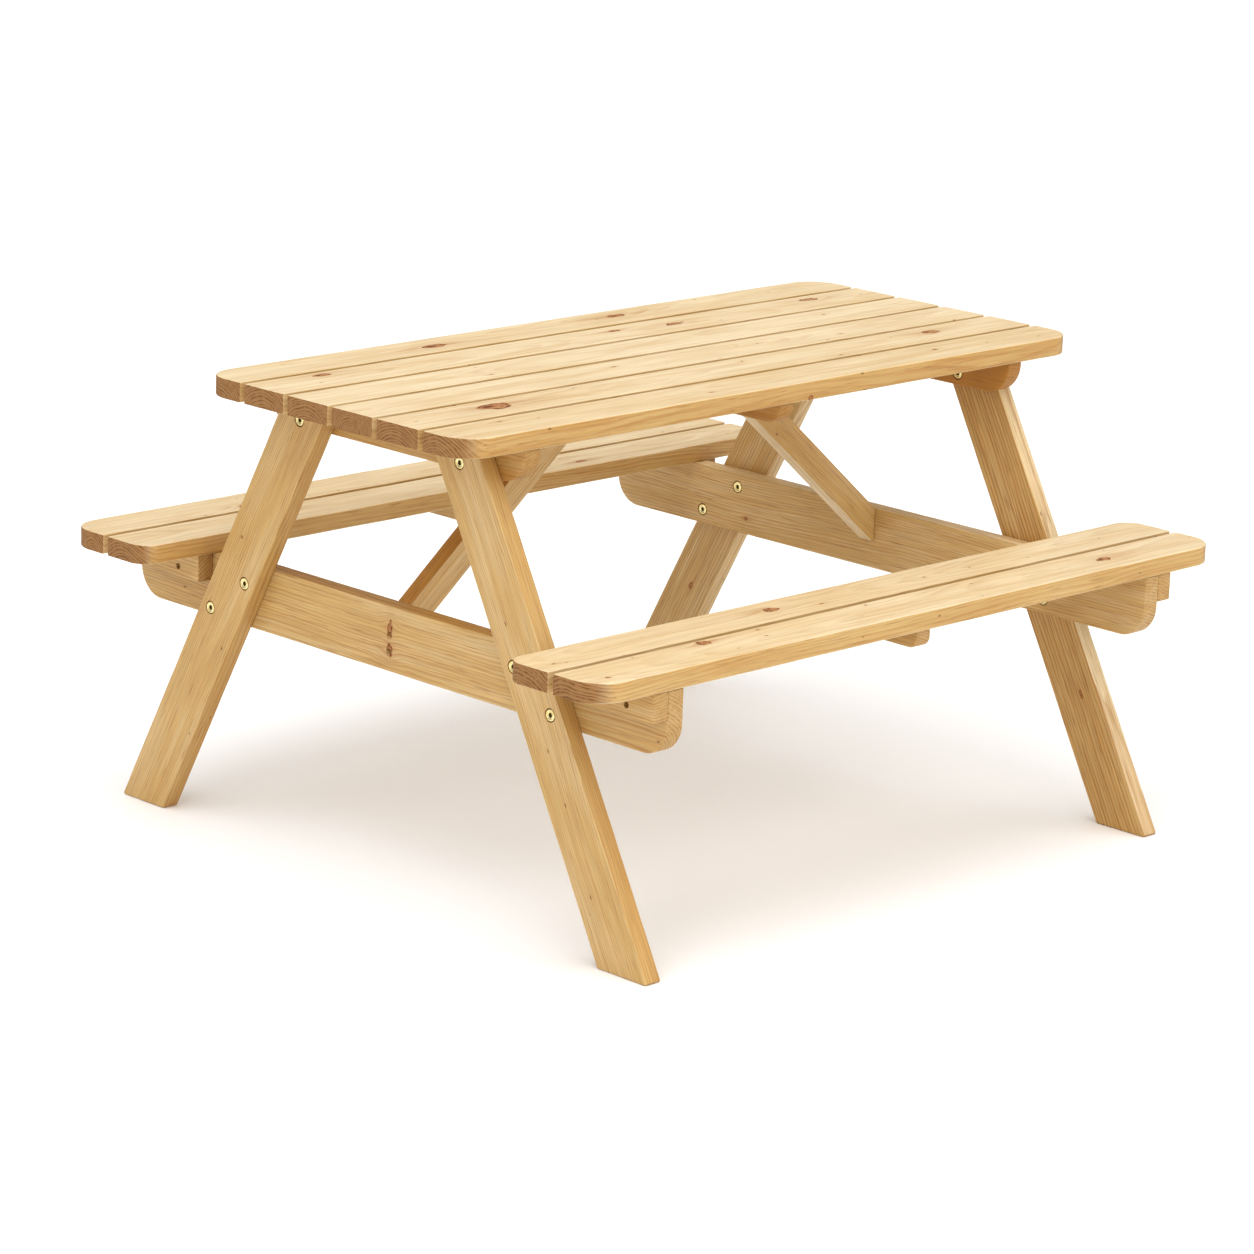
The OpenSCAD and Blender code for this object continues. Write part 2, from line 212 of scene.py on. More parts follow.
def turned_grid(profile, start, axis):
    """Rings round an axis from a profile of (radius, distance, section) rows.

    A round section keeps the radius. A hexagon's reach is its half width over
    the cosine of the angle from the middle of a side. A star's reach swells
    six times a turn.
    """
    angle = np.arange(SPOKES) / SPOKES * 2 * math.pi
    side = (angle + math.pi / 6) % (math.pi / 3) - math.pi / 6
    reach = {ROUND: angle * 0 + 1, HEX: 1 / np.cos(side), STAR: 1 + 0.14 * np.cos(6 * angle)}
    radius = np.stack([row[0] * reach[row[2]] for row in profile])
    along = np.array([row[1] for row in profile])
    axis = np.asarray(axis, float)
    helper = np.array([0, 0, 1.0]) if abs(axis[2]) < 0.9 else np.array([0, 1.0, 0])
    first = np.cross(helper, axis)
    first /= np.linalg.norm(first)
    second = np.cross(axis, first)
    ray = np.cos(angle)[:, None] * first + np.sin(angle)[:, None] * second
    return np.asarray(start, float) + along[:, None, None] * axis + radius[..., None] * ray


def turned(name, profiles_and_places):
    """One mesh of many turned solids, each closed at both ends.

    All their profiles have as many rows. The attribute recess is 1 in the
    sockets and 0 elsewhere.
    """
    grids = np.stack([turned_grid(*row) for row in profiles_and_places])
    count, rings, around = grids.shape[:3]
    faces = ring_faces(rings, around)
    firsts = [number * rings * around for number in range(count)]
    every = [[point + first for point in face] for first in firsts for face in faces]
    mesh = solid_mesh(name, grids, every)
    sunk = np.array([[row[2] != ROUND for row in profile] for profile, *_ in profiles_and_places])
    sunk = np.repeat(sunk[..., None], around, 2).astype(np.float32)
    mesh.attributes.new("recess", "FLOAT", "POINT").data.foreach_set("value", sunk.reshape(-1))
    return mesh


def drill(piece, node, hole):
    """Cuts a hole for every fastener of a node that starts or ends inside the piece."""
    box = np.array(piece.bound_box)
    low, high = box.min(0) - MM, box.max(0) + MM
    cutters = []
    for start, axis, length in fastener_places(node):
        ends = np.array([start, start + axis * length])
        inside = (ends > low) & (ends < high)
        if inside.all(1).any():
            cutters.append((hole(length), start, axis))
    if not cutters:
        return
    cutter = add_piece("cutter", turned("cutter", cutters))
    cut = piece.modifiers.new("drill", "BOOLEAN")
    cut.operation = "DIFFERENCE"
    cut.solver = "EXACT"
    cut.object = cutter
    shaped = piece.evaluated_get(bpy.context.evaluated_depsgraph_get())
    drilled = bpy.data.meshes.new_from_object(shaped)
    piece.modifiers.clear()
    piece.data = drilled
    drilled.shade_smooth()
    drilled.set_sharp_from_angle(angle=CREASE)
    bpy.data.objects.remove(cutter)


HEAD_H = 4 * MM
HEAD_SPACE = 10 * MM
BOLT_SPACE = 4.25 * MM


def leg_hole(length):
    """A counterbore for a round head, then a hole for the shank."""
    return [(HEAD_SPACE, -HEAD_H, ROUND), (HEAD_SPACE, HEAD_H, ROUND),
            (BOLT_SPACE, HEAD_H, ROUND), (BOLT_SPACE, length + HEAD_H, ROUND)]


def shader(name):
    """A new material, its node tree and its main shader."""
    material = bpy.data.materials.new(name)
    material.use_nodes = True
    tree = material.node_tree
    return material, tree, tree.nodes["Principled BSDF"]


def put(tree, kind, values=(), **settings):
    """A node with its settings made and its inputs set or linked, in order or by name."""
    made = tree.nodes.new("ShaderNode" + kind)
    for key, value in settings.items():
        setattr(made, key, value)
    pairs = values.items() if isinstance(values, dict) else enumerate(values)
    for key, value in pairs:
        if isinstance(value, bpy.types.NodeSocket):
            tree.links.new(value, made.inputs[key])
        elif value is not None:
            made.inputs[key].default_value = value
    return made


def maths(tree, operation, *values):
    return put(tree, "Math", values, operation=operation).outputs[0]


def vectors(tree, operation, *values):
    made = put(tree, "VectorMath", values, operation=operation)
    return made.outputs["Value" if operation in ("LENGTH", "DOT_PRODUCT") else "Vector"]


def scaled(tree, vector, factor):
    made = put(tree, "VectorMath", {0: vector, "Scale": factor}, operation="SCALE")
    return made.outputs["Vector"]


def soft_step(tree, value, low, high, to_low=0.0, to_high=1.0):
    """Goes smoothly from one value to another while the input goes from low to high."""
    made = put(tree, "MapRange", [value, low, high, to_low, to_high],
               interpolation_type="SMOOTHSTEP")
    return made.outputs[0]


def noise(tree, place, size_mm, detail=2.0):
    """Cloudy values about 0.5, with clouds of about size_mm along and across the grain."""
    shrunk = vectors(tree, "DIVIDE", place, size_mm)
    return put(tree, "TexNoise", {"Vector": shrunk, "Scale": 1.0, "Detail": detail})


def blend(tree, amount, first, second):
    """A mix of two colours, all second where the amount is 1."""
    made = put(tree, "Mix", {0: amount, 6: first, 7: second}, data_type="RGBA")
    return made.outputs[2]


def group(name, inputs, outputs):
    """An empty node group with the sockets named, and its input and output nodes."""
    tree = bpy.data.node_groups.new(name, "ShaderNodeTree")
    for label, kind in inputs:
        tree.interface.new_socket(label, in_out="INPUT", socket_type="NodeSocket" + kind)
    for label, kind in outputs:
        tree.interface.new_socket(label, in_out="OUTPUT", socket_type="NodeSocket" + kind)
    return tree, tree.nodes.new("NodeGroupInput").outputs, tree.nodes.new("NodeGroupOutput")


def make_knot_group():
    """One branch that the board was sawn through.

    Distance is measured in knot radii, with an uneven outline. Closeness falls
    from 1 at the middle as a bell curve of it, drawn out along the grain, and
    the grain's sideways distance from the knot shrinks with it, so that the
    rings part and flow round. The heart has a dark bark line, broken in
    places, its own rings, and a dark pith a little to one side.
    """
    tree, given, result = group(
        "pine knot",
        [("Place", "Vector"), ("Grain", "Vector"), ("Centre", "Vector"), ("Shape", "Vector"),
         ("Heart", "Float"), ("Halo", "Float")],
        [("Grain", "Vector"), ("Heart", "Float"), ("Halo", "Float")])
    away = vectors(tree, "SUBTRACT", given["Place"], given["Centre"])
    radii = vectors(tree, "MULTIPLY", away, given["Shape"])
    odd = vectors(tree, "ADD", radii, given["Centre"])
    rough = noise(tree, odd, (1.5, 1.1, 1.1), 2.0).outputs[0]
    wobble = maths(tree, "MULTIPLY_ADD", rough, 1.4, -0.7)
    distance = maths(tree, "ADD", vectors(tree, "LENGTH", radii), wobble)
    drawn_out = vectors(tree, "LENGTH", vectors(tree, "MULTIPLY", radii, (0.45, 1.0, 1.0)))
    square = maths(tree, "MULTIPLY", drawn_out, drawn_out)
    near = maths(tree, "EXPONENT", maths(tree, "MULTIPLY", square, -0.35))
    push = scaled(tree, vectors(tree, "MULTIPLY", away, (0.0, -0.90, 0.0)), near)
    tree.links.new(vectors(tree, "ADD", given["Grain"], push), result.inputs["Grain"])
    broken = noise(tree, odd, (0.8, 0.8, 0.8), 1.0).outputs[0]
    bark = maths(tree, "MULTIPLY", soft_step(tree, distance, 0.62, 0.90),
                 soft_step(tree, distance, 1.20, 0.96))
    bark = maths(tree, "MULTIPLY", bark, soft_step(tree, broken, 0.38, 0.56, 0.45, 1.0))
    rings = maths(tree, "SINE", maths(tree, "MULTIPLY", distance, 15.0))
    body = maths(tree, "MULTIPLY_ADD", rings, 0.10, 0.46)
    body = maths(tree, "MULTIPLY", body, soft_step(tree, distance, 1.12, 0.80))
    aside = vectors(tree, "LENGTH", vectors(tree, "ADD", radii, (0.35, -0.15, 0.0)))
    pith = soft_step(tree, maths(tree, "ADD", aside, wobble), 0.45, 0.12)
    heart = maths(tree, "MAXIMUM", maths(tree, "MAXIMUM", bark, body), pith)
    tree.links.new(maths(tree, "MAXIMUM", heart, given["Heart"]), result.inputs["Heart"])
    tree.links.new(maths(tree, "MAXIMUM", near, given["Halo"]), result.inputs["Halo"])
    return tree


def make_pine_group():
    """Sawn and planed pine as a solid: what shows on a face is a cut through it.

    The distance from the wandering pith, over the ring width, counts the
    growth rings. In each ring the wood goes from pale early wood to a darker
    late band and back at once. Fine fibres, broad stains and short resin
    streaks run along the grain, with a dark speck here and there. The narrow
    edges have a tint that is partly their own and partly painted light and
    shade, deeper where an edge lies in shade and paler where light falls on
    it, and sawn ends are darker and rougher.
    Lengths are in millimetres.
    """
    tree, given, result = group(
        "planed pine",
        [("Place", "Vector"), ("Grain", "Vector"), ("Pith", "Vector"), ("Slope", "Float"),
         ("Ring", "Float"), ("Seed", "Vector"), ("Tone", "Float"), ("Contrast", "Float"),
         ("Heart", "Float"), ("Halo", "Float"), ("Edge", "Float"), ("End", "Float")],
        [("Color", "Color"), ("Roughness", "Float"), ("Height", "Float")])
    # The growth rings, and how far each point is into its ring.
    place = vectors(tree, "ADD", given["Place"], given["Seed"])
    grain = vectors(tree, "ADD", given["Grain"], given["Seed"])
    wander = noise(tree, grain, (420, 150, 150), 1.0).outputs["Color"]
    wander = vectors(tree, "MULTIPLY", vectors(tree, "SUBTRACT", wander, (0.5, 0.5, 0.5)),
                     (0.0, 26.0, 38.0))
    shifted = vectors(tree, "ADD", vectors(tree, "SUBTRACT", given["Grain"], given["Pith"]), wander)
    parts = put(tree, "SeparateXYZ", [shifted]).outputs
    rise = maths(tree, "MULTIPLY_ADD", parts[0], given["Slope"], parts[2])
    from_pith = vectors(tree, "LENGTH", put(tree, "CombineXYZ", [0.0, parts[1], rise]).outputs[0])
    ripple = noise(tree, place, (75, 13, 13), 2.0).outputs[0]
    from_pith = maths(tree, "MULTIPLY_ADD", ripple, 4.0, from_pith)
    years = put(tree, "CombineXYZ", [from_pith, 0.0, 0.0]).outputs[0]
    years = noise(tree, years, (11, 1, 1), 1.0).outputs[0]
    count = maths(tree, "MULTIPLY_ADD", years, 1.6, maths(tree, "DIVIDE", from_pith, given["Ring"]))
    season = maths(tree, "FRACT", count)
    late = maths(tree, "MULTIPLY", soft_step(tree, season, 0.25, 0.86),
                 soft_step(tree, season, 1.0, 0.9))
    uneven = noise(tree, place, (220, 8, 8), 2.0).outputs[0]
    late = maths(tree, "MULTIPLY", late, soft_step(tree, uneven, 0.30, 0.66, 0.30, 1.0))

    # What runs along the grain: fibres, stains, streaks and bands.
    fibre = noise(tree, place, (80, 2.3, 2.3), 5.0).outputs[0]
    patch = noise(tree, place, (190, 30, 30), 3.0).outputs[0]
    streak = noise(tree, place, (48, 1.5, 1.5), 1.0).outputs[0]
    streak = soft_step(tree, streak, 0.60, 0.78)
    band = noise(tree, place, (300, 7, 7), 1.0).outputs[0]

    # The colour, from the early wood up: late wood, fibres, resin, knots, specks, ends.
    warmth = maths(tree, "MULTIPLY_ADD", soft_step(tree, patch, 0.32, 0.70), 0.16, given["Tone"])
    warmth = maths(tree, "MULTIPLY_ADD", soft_step(tree, band, 0.35, 0.70), 0.10, warmth)
    # The narrow edges' tint, partly their own and partly painted light and shade, also deepens the
    # late wood and the streaks there.
    warmth = maths(tree, "MULTIPLY_ADD", given["Edge"], 0.44, warmth)
    tint = put(tree, "ValToRGB", [warmth])
    ramp = tint.color_ramp
    ramp.elements.new(0.5)
    for stop, colour in zip(ramp.elements, PINE_COLOURS):
        stop.color = colour
    strength = maths(tree, "MULTIPLY_ADD", given["Edge"], 0.35, given["Contrast"])
    strength = maths(tree, "MULTIPLY", late, strength)
    colour = blend(tree, strength, tint.outputs[0], LATE_WOOD)
    depth = maths(tree, "MULTIPLY_ADD", given["Contrast"], 0.50, 0.22)
    light = maths(tree, "SUBTRACT", fibre, 0.5)
    light = maths(tree, "MULTIPLY_ADD", light, depth, 1.0)
    colour = scaled(tree, colour, light)
    faint = maths(tree, "MULTIPLY_ADD", given["Edge"], 0.35, given["Contrast"])
    streak = maths(tree, "MULTIPLY", streak, faint)
    colour = blend(tree, streak, colour, RESIN)
    stain = maths(tree, "MULTIPLY", given["Halo"], maths(tree, "MULTIPLY_ADD", late, 0.55, 0.20))
    colour = blend(tree, stain, colour, KNOT_STAIN)
    colour = blend(tree, maths(tree, "MULTIPLY", given["Heart"], 1.8), colour, KNOT_BODY)
    colour = blend(tree, soft_step(tree, given["Heart"], 0.40, 0.95), colour, KNOT_BARK)
    cell = vectors(tree, "DIVIDE", place, (62, 26, 26))
    speck = put(tree, "TexVoronoi", {"Vector": cell, "Scale": 1.0}).outputs["Distance"]
    colour = blend(tree, soft_step(tree, speck, 0.075, 0.030, 0.0, 0.7), colour, KNOT_BARK)
    speckle = noise(tree, place, (2, 0.8, 0.8), 2.0).outputs[0]
    sawn = blend(tree, late, END_EARLY, END_LATE)
    sawn = blend(tree, maths(tree, "MULTIPLY", speckle, 0.40), sawn, RESIN)
    colour = blend(tree, given["End"], colour, sawn)
    tree.links.new(colour, result.inputs["Color"])

    # The finish: how rough the wood is, and its fine relief.
    rough = maths(tree, "MULTIPLY_ADD", fibre, 0.16, 0.38)
    rough = maths(tree, "MULTIPLY_ADD", late, 0.08, rough)
    rough = maths(tree, "MULTIPLY_ADD", given["End"], 0.30, rough)
    rough = maths(tree, "MULTIPLY_ADD", given["Heart"], 0.20, rough)
    tree.links.new(rough, result.inputs["Roughness"])
    height = maths(tree, "MULTIPLY_ADD", late, 0.45, maths(tree, "MULTIPLY", fibre, 0.6))
    height = maths(tree, "MULTIPLY_ADD", given["Heart"], -0.5, height)
    height = maths(tree, "MULTIPLY_ADD", maths(tree, "MULTIPLY", speckle, given["End"]), 1.2, height)
    tree.links.new(height, result.inputs["Height"])
    return tree


PINE_COLOURS = [(0.735, 0.603, 0.400, 1), (0.555, 0.370, 0.150, 1), (0.430, 0.205, 0.038, 1)]
LATE_WOOD = (0.400, 0.190, 0.055, 1)
RESIN = (0.280, 0.115, 0.030, 1)
KNOT_STAIN = (0.420, 0.205, 0.070, 1)
KNOT_BODY = (0.370, 0.155, 0.045, 1)
KNOT_BARK = (0.140, 0.036, 0.008, 1)
END_EARLY = (0.345, 0.192, 0.076, 1)
END_LATE = (0.125, 0.053, 0.015, 1)

knot_group = make_knot_group()
pine_group = make_pine_group()


def feed(made, values):
    """Links or sets the inputs of a group node by name."""
    tree = made.id_data
    for key, value in values.items():
        if isinstance(value, bpy.types.NodeSocket):
            tree.links.new(value, made.inputs[key])
        else:
            made.inputs[key].default_value = value
    return made.outputs


def pine(name, box, along, through, seed, tone, contrast, ring=3.6, edge_tint_and_shade=(0.4, 0.4),
         sawn=0.35, knots=(), flat_sawn=False):
    """Planed pine for one board, its grain along one direction.

    Place is measured from the middle of the board in millimetres: along the
    grain, across it and through the thickness. Tone goes from pale to amber,
    contrast is how dark the late wood is, ring the width of a year's growth,
    and sawn how dark the sawn ends are. The edge amounts are how amber the
    two narrow edges are, the one towards -across first: partly the edges' own
    tint, partly painted shade where an edge lies in shade and, below zero,
    painted light that makes an edge paler where light falls on it. A knot is
    a row of along, across, half length and half width, with its depth as a
    fifth number where it is a small one that doesn't go through the board. The
    pith is far off to one side, or close under the face where the board is
    flat sawn.
    """
    material, tree, surface = shader(name)
    rng = np.random.default_rng(seed)
    along, through = Vector(along).normalized(), Vector(through).normalized()
    across = through.cross(along)
    turn = Matrix((along, across, through)).transposed().to_euler()
    middle = (box[0] + box[1]) / 2
    seen = put(tree, "TexCoord").outputs
    place = put(tree, "Mapping", [seen["Object"], middle, turn, (MM, MM, MM)],
                vector_type="TEXTURE").outputs[0]
    grain, heart, halo = place, 0.0, 0.0
    for x, y, half_length, half_width, *depth in knots:
        shape = (1 / half_length, 1 / half_width, 1 / half_width if depth else 0.0)
        made = put(tree, "Group", node_tree=knot_group)
        values = {"Place": place, "Grain": grain, "Centre": (x, y, *(depth or [0.0])),
                  "Shape": shape, "Heart": heart, "Halo": halo}
        grain, heart, halo = feed(made, values)
    facing = maths(tree, "ABSOLUTE", vectors(tree, "DOT_PRODUCT", seen["Normal"], along))
    end = soft_step(tree, facing, 0.18, 0.78, 0.0, sawn)
    # How amber each narrow edge is: partly its own tint and partly painted light and shade, paler
    # where the amount is below zero.
    facing = vectors(tree, "DOT_PRODUCT", seen["Normal"], across)
    edge = maths(tree, "ADD", soft_step(tree, facing, -0.70, -0.98, 0.0, edge_tint_and_shade[0]),
                 soft_step(tree, facing, 0.70, 0.98, 0.0, edge_tint_and_shade[1]))
    side = rng.choice([-1, 1])
    pith = (0.0, rng.uniform(-22, 22), -rng.uniform(20, 60))
    if not flat_sawn:
        pith = (0.0, side * rng.uniform(70, 140), -rng.uniform(20, 70))
    wood = put(tree, "Group", node_tree=pine_group)
    feed(wood, {"Place": place, "Grain": grain, "Pith": pith, "Slope": rng.uniform(-0.03, 0.03),
                "Ring": ring * rng.uniform(0.85, 1.2), "Seed": rng.uniform(-900, 900, 3), "Tone": tone,
                "Contrast": contrast, "Heart": heart, "Halo": halo, "Edge": edge, "End": end})
    tree.links.new(wood.outputs["Color"], surface.inputs["Base Color"])
    tree.links.new(wood.outputs["Roughness"], surface.inputs["Roughness"])
    surface.inputs["Specular IOR Level"].default_value = 0.4
    relief = put(tree, "Bump", {"Strength": 0.35, "Distance": 0.3 * MM,
                                "Height": wood.outputs["Height"]})
    tree.links.new(relief.outputs[0], surface.inputs["Normal"])
    return material


def stand_for(piece, node, material):
    """Shows a finished piece in place of its plain node."""
    piece.data.materials.clear()
    piece.data.materials.append(material)
    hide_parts(node)
    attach(piece, "root")


def box_of(node):
    low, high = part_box(node)
    return Vector(low), Vector(high)


X, Y, Z = Vector((1, 0, 0)), Vector((0, 1, 0)), Vector((0, 0, 1))
SIDES = (("left", -1), ("right", 1))
ENDS = (("front", -1), ("rear", 1))

CORNERS = [(side, hand, end, way) for side, hand in SIDES for end, way in ENDS]

# Tone, contrast, ring and edge tint of each leg's pine, then its small knots.
# The right front leg's deeper tone is painted shade from the top above it,
# and the right legs' paler edges are painted light.
LEG_PINE = {
    "leg_left_front": (0.35, 0.50, 3.6, (0.3, 0.3), [(150, 24, 3, 2, 13), (-95, -12, 4, 2, 13)]),
    "leg_left_rear": (0.40, 0.55, 3.6, (0.3, 0.3), [(118, -16, 3, 2, -13)]),
    "leg_right_front": (0.46, 1.0, 5.4, (-0.9, -0.9), [(-170, 10, 7, 3, -13)]),
    "leg_right_rear": (0.33, 0.65, 4.2, (-0.3, -0.3),
                       [(-165, 4, 6, 4, -13), (60, 20, 5, 3, -13)]),
}
LEG_SAWN = 0.35

for seed, (side, hand, end, way) in enumerate(CORNERS):
    node = f"leg_{side}_{end}"
    low, high = box_of(node)
    spread, height = high.y - low.y, high.z - low.z
    lean = math.acos(LEG_WIDTH / math.hypot(spread, height)) - math.atan2(height, spread)
    cut = LEG_WIDTH / math.cos(lean)
    corners = [(spread - cut, 0), (spread, 0), (cut, height), (0, height)]
    inner = low.y if way > 0 else high.y
    outer_x = low.x if hand < 0 else high.x
    piece = plank(f"pine_{node}", corners, [LEG_CORNER] * 4, (outer_x, inner, low.z),
                  (0, way, 0), Z, (-hand, 0, 0), high.x - low.x, 10 + seed)
    drill(piece, "connector_bolts", leg_hole)
    slope = Vector((0, -way * math.sin(lean), math.cos(lean)))
    tone, contrast, ring, edge_tint_and_shade, knots = LEG_PINE[node]
    wood = pine(f"pine {node}", (low, high), slope, X, 40 + seed, tone, contrast, ring, edge_tint_and_shade,
                LEG_SAWN, knots)
    stand_for(piece, node, wood)


# ---- Seat bearers ----
# One level pine board across each end frame, on edge inside the legs, with
# its lower corners rounded. It carries both seats and the foot of a brace.

BEARER_CORNER = 45 * MM
SAWN_CORNER = 3 * MM
RAIL_CONTRAST = 0.60
RAIL_RING = 4.4
RAIL_SAWN = 0.30
SLEEVE_SPACE = 5.25 * MM
SCREW_SPACE = 2.35 * MM
SCREW_HEAD_SPACE = 4.6 * MM
SCREW_CONE = 2.25 * MM
SCREW_DRIVE = 14 * MM
HOLE_SPARE = 0.2 * MM


def sleeve_hole(length):
    """A counterbore for a round head, then a hole for the barrel."""
    return [(HEAD_SPACE, -HEAD_H, ROUND), (HEAD_SPACE, HEAD_H, ROUND),
            (SLEEVE_SPACE, HEAD_H, ROUND), (SLEEVE_SPACE, length + 3 * HEAD_H, ROUND)]


def screw_hole(length):
    """A hole as wide as the head behind it, a cone for the head, then the shank."""
    return [(SCREW_HEAD_SPACE, -SCREW_DRIVE, ROUND), (SCREW_HEAD_SPACE, 0, ROUND),
            (SCREW_SPACE, SCREW_CONE, ROUND), (SCREW_SPACE, length + HOLE_SPARE, ROUND)]


def cross_rail(node, low_radius, seed, tone, edge_tint_and_shade=(0.4, 0.4), knots=()):
    """A board on edge along Y, its lower corners rounded to low_radius."""
    low, high = box_of(node)
    half, height = (high.y - low.y) / 2, high.z - low.z
    corners = [(-half, 0), (half, 0), (half, height), (-half, height)]
    middle = (low.y + high.y) / 2
    radii = [low_radius, low_radius, SAWN_CORNER, SAWN_CORNER]
    piece = plank(f"pine_{node}", corners, radii, (low.x, middle, low.z), Y, Z, X,
                  high.x - low.x, seed)
    wood = pine(f"pine {node}", (low, high), Y, X, seed + 100, tone, RAIL_CONTRAST, RAIL_RING,
                edge_tint_and_shade, RAIL_SAWN, knots)
    stand_for(piece, node, wood)
    return piece


# Tone, edge tint and knots of each bearer's pine; the edge tints are
# partly the wood's own and partly painted light and shade.
BEARER_PINE = {
    "left": (0.38, (0.5, 0.5),
             [(-188, 45, 4, 3, 4), (-2, 13, 4.5, 12, -13), (-2, -17, 5.5, 9, -13)]),
    "right": (0.36, (-0.6, -0.6), [(260, -22, 4, 3, -13)]),
}
for side, hand in SIDES:
    rail = cross_rail(f"seat_bearer_{side}", BEARER_CORNER, 20 + hand, *BEARER_PINE[side])
    drill(rail, "sleeve_nuts", sleeve_hole)
    drill(rail, "face_screws", screw_hole)
    drill(rail, "brace_foot_screws", screw_hole)


# ---- Top battens ----
# Three pine rails across the underside of the top: two deep ones with well
# rounded ends, bolted to the legs, and a shallow one in the middle.

END_BATTEN_CORNER = 45 * MM
MIDDLE_BATTEN_CORNER = 27 * MM
# The top battens' tones, deeper than the legs' and deepest on the right, are painted shade under the
# top.
TOP_BATTEN_TONE_AND_SHADE = {"left": 0.55, "middle": 0.70, "right": 0.92}

for side, hand in SIDES:
    batten = cross_rail(f"top_batten_{side}", END_BATTEN_CORNER, 30 + hand, TOP_BATTEN_TONE_AND_SHADE[side])
    drill(batten, "sleeve_nuts", sleeve_hole)
    drill(batten, "end_batten_screws", screw_hole)
batten = cross_rail("top_batten_middle", MIDDLE_BATTEN_CORNER, 33, TOP_BATTEN_TONE_AND_SHADE["middle"])
drill(batten, "middle_batten_screws", screw_hole)


# ---- Connector bolts and sleeve nuts ----
# Steel M8 furniture bolts, plated and passivated to a pale brassy yellow. The
# wide heads have a hexagon socket and sit in counterbores, flush with the
# wood. Each bolt goes into a sleeve nut that has the same head.

HEAD_R = 8.5 * MM
BOLT_R = 4 * MM
SLEEVE_R = 5 * MM
THREAD_HOLE_R = 4.05 * MM
BOLT_CHAMFER = 0.8 * MM
SLEEVE_CHAMFER = 0.4 * MM


def round_head():
    """From the socket's floor out over a softly dished face and round the rim."""
    rows_mm = [(0.25, 3.0), (3.0, 2.9), (3.0, 1.1), (3.2, 0.85)]
    socket = [(r * MM, d * MM, HEX) for r, d in rows_mm]
    rows_mm = [(3.7, 0.75), (4.6, 0.62), (5.8, 0.30), (6.7, 0.06), (7.3, 0.0), (7.9, 0.12),
               (8.3, 0.42), (8.5, 0.95)]
    face = [(r * MM, d * MM, ROUND) for r, d in rows_mm]
    return socket + face + [(HEAD_R, HEAD_H, ROUND)]


def bolt_profile(length):
    """The round head on a plain shank with a chamfered end."""
    return round_head() + [(BOLT_R, HEAD_H, ROUND), (BOLT_R, length - MM, ROUND),
                           (BOLT_R - BOLT_CHAMFER, length, ROUND)]


def sleeve_profile(length):
    """The round head on a barrel that takes the bolt's end."""
    return round_head() + [(SLEEVE_R, HEAD_H, ROUND), (SLEEVE_R, length - SLEEVE_CHAMFER, ROUND),
                           (SLEEVE_R - SLEEVE_CHAMFER, length, ROUND),
                           (THREAD_HOLE_R, length, ROUND), (THREAD_HOLE_R, HEAD_H, ROUND)]


# Painted shade for the deep hollows of the sockets and recesses.
SOCKET_SHADE = (0.075, 0.055, 0.015, 1)


def plated_steel(name, colour, dull, roughness):
    """Passivated zinc plate: a bright skin with cloudy dull patches, and the sockets darkened as
    painted shade.
    """
    material, tree, surface = shader(name)
    place = scaled(tree, put(tree, "TexCoord").outputs["Object"], 1 / MM)
    cloud = noise(tree, place, (2.6, 2.6, 2.6), 3.0).outputs[0]
    worn = soft_step(tree, cloud, 0.42, 0.66)
    recess = put(tree, "Attribute", attribute_name="recess").outputs["Fac"]
    skin = blend(tree, worn, colour, dull)
    skin = blend(tree, maths(tree, "MULTIPLY", recess, 0.85), skin, SOCKET_SHADE)
    tree.links.new(skin, surface.inputs["Base Color"])
    grit = noise(tree, place, (0.35, 0.35, 0.35), 2.0).outputs[0]
    rough = maths(tree, "MULTIPLY_ADD", worn, 0.14, roughness)
    rough = maths(tree, "MULTIPLY_ADD", grit, 0.10, rough)
    tree.links.new(rough, surface.inputs["Roughness"])
    surface.inputs["Metallic"].default_value = 1.0
    relief = put(tree, "Bump", {"Strength": 0.15, "Distance": 0.05 * MM, "Height": grit})
    tree.links.new(relief.outputs[0], surface.inputs["Normal"])
    return material


yellow_plate = plated_steel("yellow zinc plate", (0.88, 0.76, 0.42, 1), (0.72, 0.56, 0.22, 1), 0.16)


def fasteners(node, profile, material):
    """One piece of all the fasteners of a node, each where the node has it."""
    rows = [(profile(length), start, axis) for start, axis, length in fastener_places(node)]
    piece = add_piece(f"plated_{node}", turned(f"plated_{node}", rows))
    stand_for(piece, node, material)


fasteners("connector_bolts", bolt_profile, yellow_plate)
fasteners("sleeve_nuts", sleeve_profile, yellow_plate)


# ---- Table top ----
# Six pale pine boards with planed faces and a narrow gap between them,
# screwed on from below. The two outer boards have a rounded corner at each
# end.

TOP_CORNER = 50 * MM
BOARD_ARRIS = 0.8 * MM
EXTRA_WEAR = 2.2
BOARD_RING = 4.2
BOARD_SAWN = 1.0
# Edge tints of the boards: the outer edges deep amber, partly their own tint and partly painted shade;
# the edges at the gaps paler, as painted light in the shaded gaps.
OUTER_EDGE_TINT_AND_SHADE = 1.0
GAP_EDGE_TINT_AND_SHADE = 0.55


